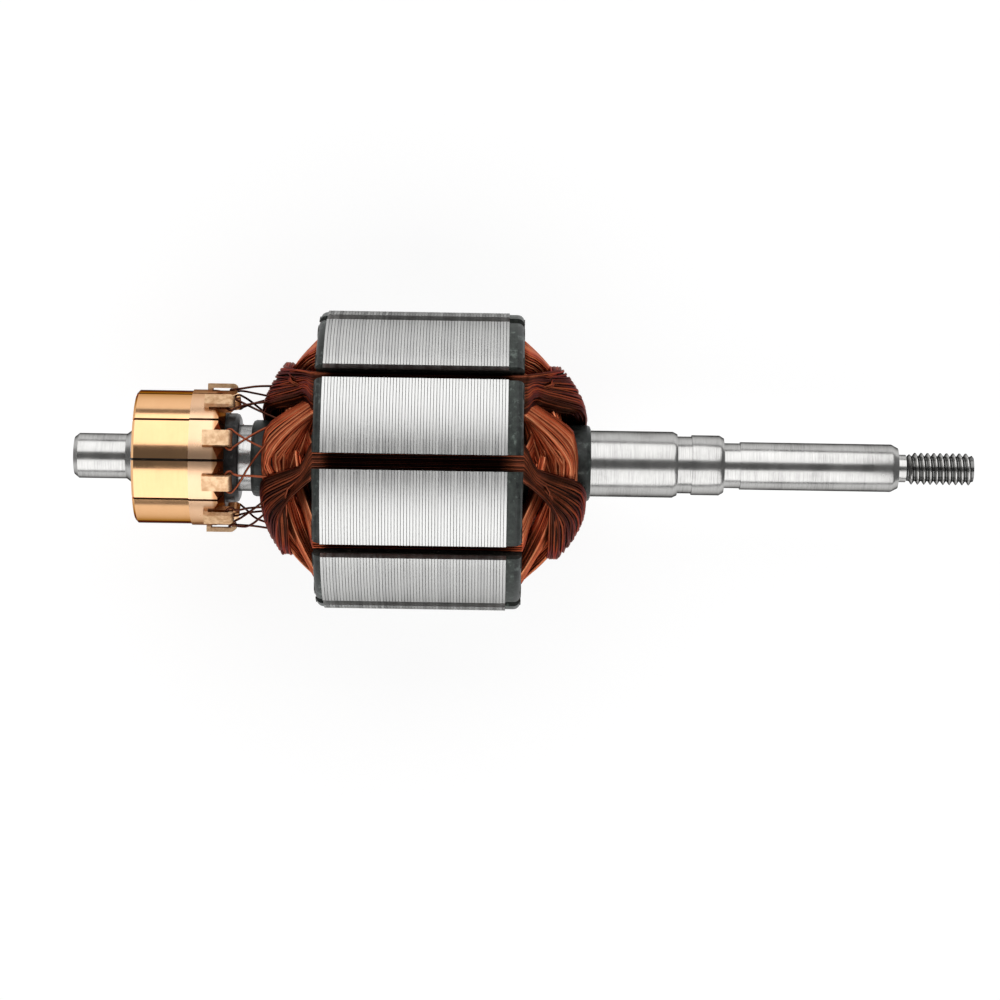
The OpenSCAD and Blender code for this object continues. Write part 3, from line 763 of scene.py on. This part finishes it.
# %% Floor and light
low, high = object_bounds()
floor_mesh = bmesh.new()
bmesh.ops.create_circle(floor_mesh, cap_ends=True, segments=96, radius=3.0,
                        matrix=Matrix.Translation((0, 0, low.z)))
floor_data = bpy.data.meshes.new("floor")
floor_mesh.to_mesh(floor_data)
floor_mesh.free()
floor = bpy.data.objects.new("floor", floor_data)
bpy.context.scene.collection.objects.link(floor)
floor_finish = Finish("floor_paint", roughness=0.9)
floor_finish.colour(floor_finish.ramp(floor_finish.noise(3), [(0.3, (0.86, 0.86, 0.86)),
                                                              (0.7, (0.88, 0.88, 0.88))]))
floor_tree = floor_finish.material.node_tree
seen = floor_finish.add("ShaderNodeLightPath").outputs
seen_at_all = floor_finish.math("MAXIMUM", floor_finish.math(
    "MAXIMUM", seen["Is Camera Ray"], seen["Is Glossy Ray"]), seen["Is Transmission Ray"])
white = floor_finish.add("ShaderNodeEmission")
white.inputs["Strength"].default_value = 1.11
blend = floor_finish.add("ShaderNodeMixShader")
floor_finish.join(floor_finish.math("MULTIPLY", seen_at_all, 0.74), blend.inputs["Fac"])
floor_finish.join(floor_finish.shader.outputs[0], blend.inputs[1])
floor_finish.join(white.outputs[0], blend.inputs[2])
floor_finish.join(blend.outputs[0], floor_tree.nodes["Material Output"].inputs["Surface"])
floor_data.materials.append(floor_finish.material)


lamp_size, lamp_power = (1.1, 0.8), 4.6
lamp_along, lamp_beside, lamp_height = -0.04, 0.536, 0.45
middle_of_core = Vector(((core_low.x + core_high.x) / 2, 0, 0))


def soft_lamp(name, location):
    data = bpy.data.lights.new(name, "AREA")
    data.shape = "RECTANGLE"
    data.size, data.size_y = lamp_size
    data.energy = lamp_power
    lamp = bpy.data.objects.new(name, data)
    lamp.location = location
    lamp.rotation_euler = (middle_of_core - Vector(location)).to_track_quat("-Z", "Y").to_euler()
    bpy.context.scene.collection.objects.link(lamp)


soft_lamp("lamp_near", (lamp_along, -lamp_beside, lamp_height))
soft_lamp("lamp_far", (lamp_along, lamp_beside, lamp_height))

sky = bpy.data.worlds.new("sky")
bpy.context.scene.world = sky
sky.use_nodes = True
sky_tree = sky.node_tree
direction = sky_tree.nodes.new("ShaderNodeTexCoord").outputs["Generated"]
split = sky_tree.nodes.new("ShaderNodeSeparateXYZ")
sky_tree.links.new(direction, split.inputs[0])
fade = sky_tree.nodes.new("ShaderNodeValToRGB")
fade.color_ramp.elements[0].position = 0.2
fade.color_ramp.elements[0].color = (0.2, 0.2, 0.2, 1)
fade.color_ramp.elements[1].position = 0.97
fade.color_ramp.elements[1].color = (0.12, 0.12, 0.12, 1)
sky_tree.links.new(split.outputs["Z"], fade.inputs["Fac"])
sky_tree.links.new(fade.outputs["Color"], sky_tree.nodes["Background"].inputs["Color"])
print("floor at", round(low.z / mm, 2), "mm, two lamps")

# %% [markdown]
# The camera hangs over the shaft and looks almost straight down. It is aimed a little to the near
# side of the shaft and is turned by about one degree, so the shaft does not lie dead level.

# %% Camera
camera_data = bpy.data.cameras.new("camera")
camera_data.lens = 118.8
camera_data.clip_end = 20
camera = bpy.data.objects.new("camera", camera_data)
bpy.context.scene.collection.objects.link(camera)
seat_to_middle = -38.1 * mm
camera.location = (seat_to_middle, 6.7 * mm, 0.66)
aim = Vector((seat_to_middle, -7.6 * mm, 0)) - camera.location
camera.rotation_euler = (Matrix.Rotation(math.atan2(aim.y, -aim.z), 4, "X")
                         @ Matrix.Rotation(math.radians(0.92), 4, "Z")).to_euler()
bpy.context.scene.camera = camera
bpy.context.scene.view_settings.view_transform = "Standard"
print("camera", round(camera.location.z, 2), "m above the shaft")

# %% [markdown]
# The last cell brings the scene up to date.

# %% The end
bpy.context.view_layer.update()
